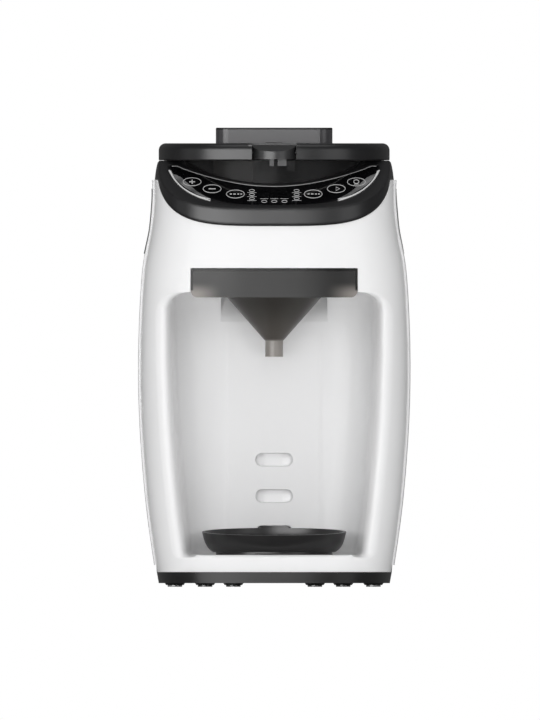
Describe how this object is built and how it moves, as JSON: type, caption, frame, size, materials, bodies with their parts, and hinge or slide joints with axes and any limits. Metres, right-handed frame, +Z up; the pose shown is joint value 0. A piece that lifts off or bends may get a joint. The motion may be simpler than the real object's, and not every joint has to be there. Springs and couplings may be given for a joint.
{
  "type": "baby formula maker",
  "caption": "Countertop machine that doses powder from a smoked hopper, heats water from a rear tank and mixes both in a funnel over a bottle bay.",
  "frame": {"origin": "on the table under the middle of the bounding box", "axes": "-Y is the front with the bottle bay and panel, +X is to the right as seen from the front, +Z is up"},
  "size_m": [0.2166, 0.2996, 0.365],
  "materials": {
    "white_shell": "gloss",
    "dark_gloss": "gloss",
    "dark_matte": "matte",
    "black_glass": "polished",
    "chrome_trim": "polished",
    "smoked": "clear",
    "rubber": "matte",
    "clear_pad": "satin",
    "steel": "brushed",
    "zinc": "satin",
    "pcb": "satin",
    "grey_plastic": "satin",
    "gear_plastic": "satin",
    "silicone": "satin",
    "aluminium": "cast"
  },
  "bodies": {
    "base": {"front_shell": "white_shell", "rear_shell": "white_shell", "grip_left": "dark_matte", "grip_right": "dark_matte", "base_plate": "dark_matte", "feet": "rubber", "foot_pads": "clear_pad", "base_screws": "steel", "touch_glass": "black_glass", "trim_arcs": "chrome_trim", "control_bezel": "dark_gloss", "top_deck": "dark_gloss", "display_board": "pcb", "key_sensors": "steel", "display_module": "grey_plastic", "hopper_well": "dark_matte", "chute_gasket": "silicone", "powder_chute": "grey_plastic", "shaft_bush": "steel", "gear_motor": "zinc", "motor_bracket": "zinc", "bracket_screws": "steel", "funnel_rails": "grey_plastic", "tank_dock": "grey_plastic", "dock_seal": "silicone", "water_pump": "dark_matte", "inlet_hose": "silicone", "heater_block": "aluminium", "thermostat": "steel", "pressure_hose": "silicone", "hot_hose": "silicone", "water_nozzle": "steel", "chassis_plate": "zinc", "power_board": "pcb", "power_inlet": "dark_matte"},
    "hopper": {"powder_hopper": "smoked", "scraper_plate": "gear_plastic"},
    "lid": {"hopper_lid": "dark_gloss", "lid_hinge_pins": "steel", "lid_liner": "dark_matte", "lid_seal": "silicone", "latch_pin": "steel"},
    "latch": {"lid_latch": "dark_gloss"},
    "mixer": {"dosing_wheel": "gear_plastic", "mixing_wheel": "grey_plastic"},
    "drive": {"drive_gear": "gear_plastic", "drive_shaft": "steel"},
    "pinion": {"motor_pinion": "gear_plastic", "motor_shaft": "steel"},
    "funnel": {"funnel_drawer": "smoked", "funnel_cone": "smoked"},
    "tray": {"bottle_tray": "dark_gloss", "tray_base": "dark_matte"},
    "tank": {"water_tank": "smoked", "valve_cage": "grey_plastic", "float_guide": "grey_plastic", "valve_spring": "steel"},
    "tank_cap": {"tank_lid": "dark_gloss"},
    "valve": {"valve_plunger": "grey_plastic"},
    "float": {"level_float": "gear_plastic"}
  },
  "joints": [
    {"name": "hopper_lift", "type": "slide", "parent": "base", "child": "hopper", "axis": [0, 0, 1], "range_m": [0, 0.1]},
    {"name": "lid_hinge", "type": "hinge", "parent": "hopper", "child": "lid", "pos_m": [0, 0.06, 0.3462], "axis": [-1, 0, 0], "range_deg": [0, 88]},
    {"name": "latch_press", "type": "hinge", "parent": "lid", "child": "latch", "pos_m": [0, -0.1084, 0.345], "axis": [-1, 0, 0], "range_deg": [0, 12], "stiffness_Nm_per_rad": 0.08, "springref_deg": -5.73},
    {"name": "drive_spin", "type": "hinge", "parent": "base", "child": "drive", "pos_m": [0, -0.036, 0.254], "axis": [0, 0, 1], "continuous": true},
    {"name": "mixer_spin", "type": "hinge", "parent": "hopper", "child": "mixer", "pos_m": [0, -0.036, 0.268], "axis": [0, 0, 1], "continuous": true},
    {"name": "pinion_spin", "type": "hinge", "parent": "base", "child": "pinion", "pos_m": [0, 0.009, 0.254], "axis": [0, 0, 1], "continuous": true},
    {"name": "funnel_slide", "type": "slide", "parent": "base", "child": "funnel", "axis": [0, -1, 0], "range_m": [0, 0.12]},
    {"name": "tray_slide", "type": "slide", "parent": "base", "child": "tray", "axis": [0, -1, 0], "range_m": [0, 0.1]},
    {"name": "tank_lift", "type": "slide", "parent": "base", "child": "tank", "axis": [0, 0, 1], "range_m": [0, 0.3]},
    {"name": "tank_lid_lift", "type": "slide", "parent": "tank", "child": "tank_cap", "axis": [0, 0, 1], "range_m": [0, 0.05]},
    {"name": "valve_press", "type": "slide", "parent": "tank", "child": "valve", "axis": [0, 0, 1], "range_m": [0, 0.003], "stiffness_N_per_m": 150, "springref_m": -0.002, "deforming": ["valve_spring"]},
    {"name": "float_rise", "type": "slide", "parent": "tank", "child": "float", "axis": [0, 0, 1], "range_m": [0, 0.06]}
  ],
  "couplings": [
    {"joint": "mixer_spin", "follows": "drive_spin", "ratio": 1},
    {"joint": "pinion_spin", "follows": "drive_spin", "ratio": -4}
  ]
}
